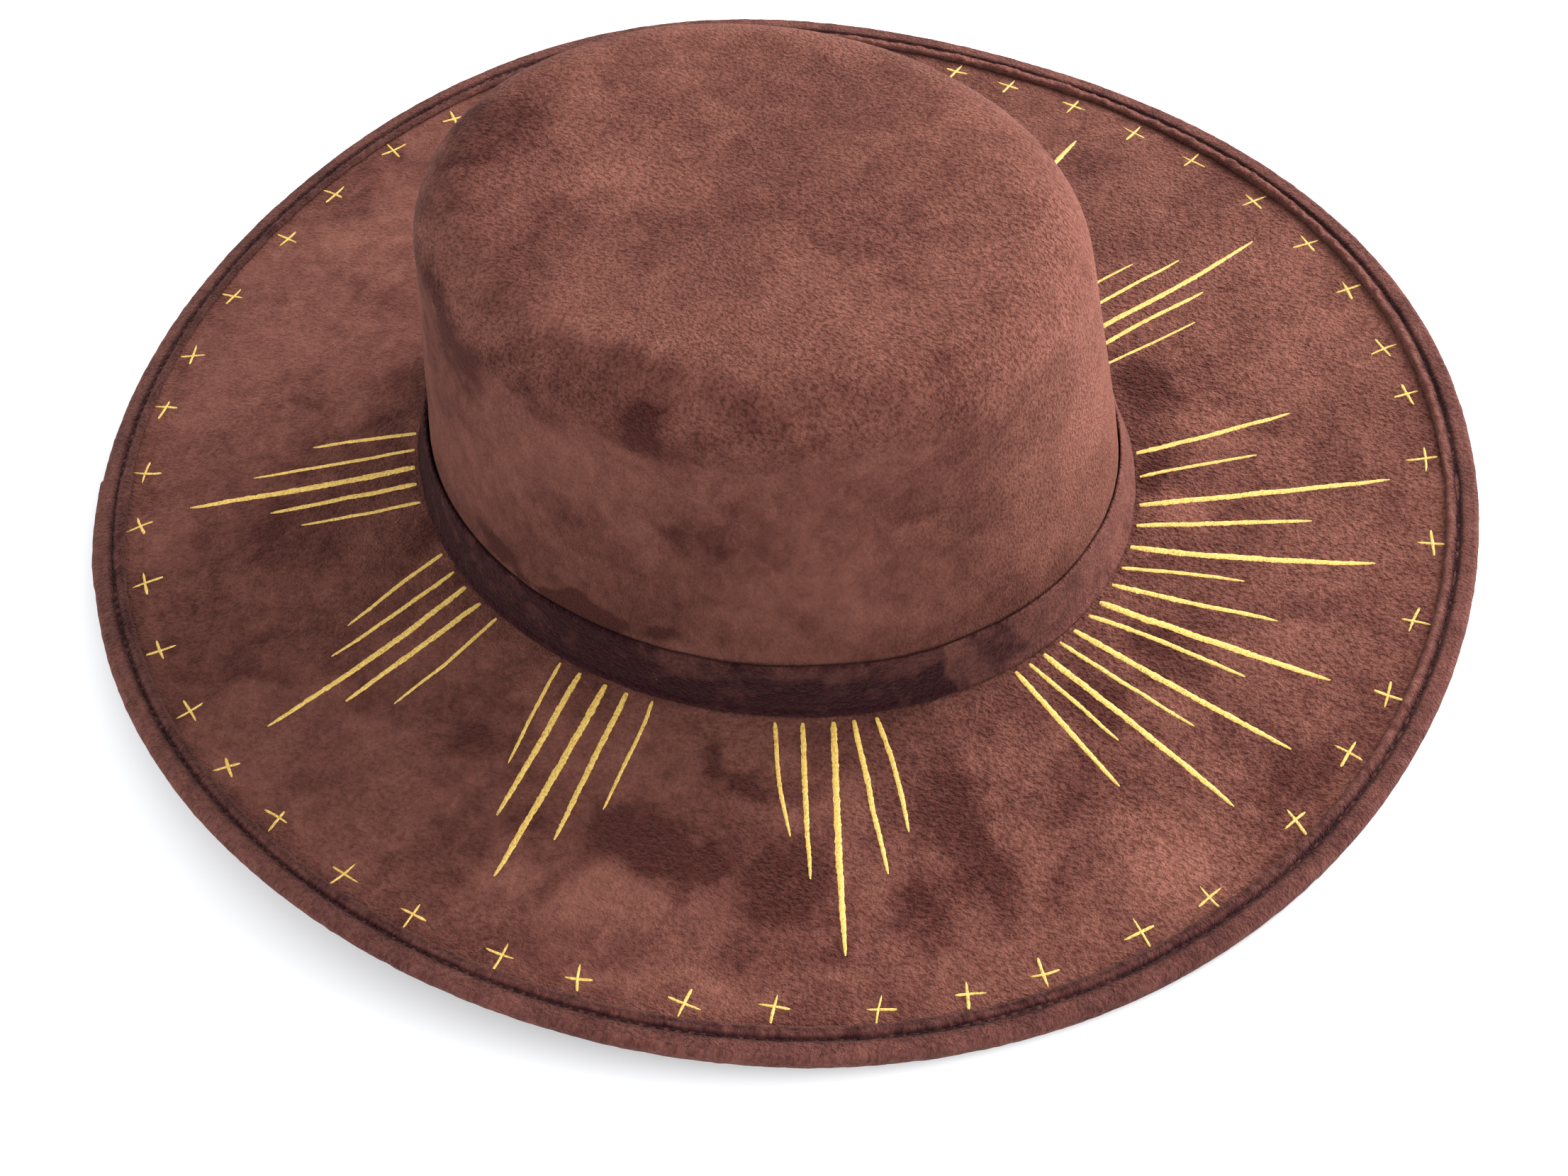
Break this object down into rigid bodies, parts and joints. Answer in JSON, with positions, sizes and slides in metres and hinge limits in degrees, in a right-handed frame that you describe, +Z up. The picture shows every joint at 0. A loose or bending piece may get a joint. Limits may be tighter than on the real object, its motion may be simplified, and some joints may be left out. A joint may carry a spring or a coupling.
{
  "type": "wide-brim hat",
  "caption": "Wide-brimmed hat with a flat-topped oval crown, a flared hat band, a bound and gently waved brim edge, and a lined inside with a sweatband.",
  "frame": {"origin": "on the surface that the hat stands on, under the middle of the head oval", "axes": "+Z up out of the flat top of the crown, -Y the way the wearer faces, +X to the wearer's left"},
  "size_m": [0.3918, 0.4134, 0.1173],
  "materials": {
    "suede": "brown suede-like cloth with a short brushed nap",
    "suede_trim": "darker brown suede-like strip with a short nap",
    "gold_paint": "thin matt gold fabric paint, dry-brushed at the tips",
    "thread": "brown polyester sewing thread",
    "stiffening": "stiff pressed fibre, matt",
    "lining": "dark brown satin",
    "webbing": "dark brown ribbed ribbon",
    "label": "blank woven label",
    "reed": "plain extruded plastic",
    "wire": "drawn steel"
  },
  "bodies": {
    "root": {"crown_cover": "suede", "crown_stiffener": "stiffening", "crown_tip_lining": "lining", "crown_side_lining": "lining", "headsize_tape": "webbing", "sweatband": "webbing", "sweatband_reed": "reed", "sweatband_bow": "webbing", "care_label": "label", "hat_band": "suede_trim", "brim_upper_cover": "suede", "brim_core": "stiffening", "brim_under_cover": "suede", "brim_binding": "suede_trim", "brim_wire": "wire", "wire_joint_sleeve": "wire"}
  },
  "joints": []
}
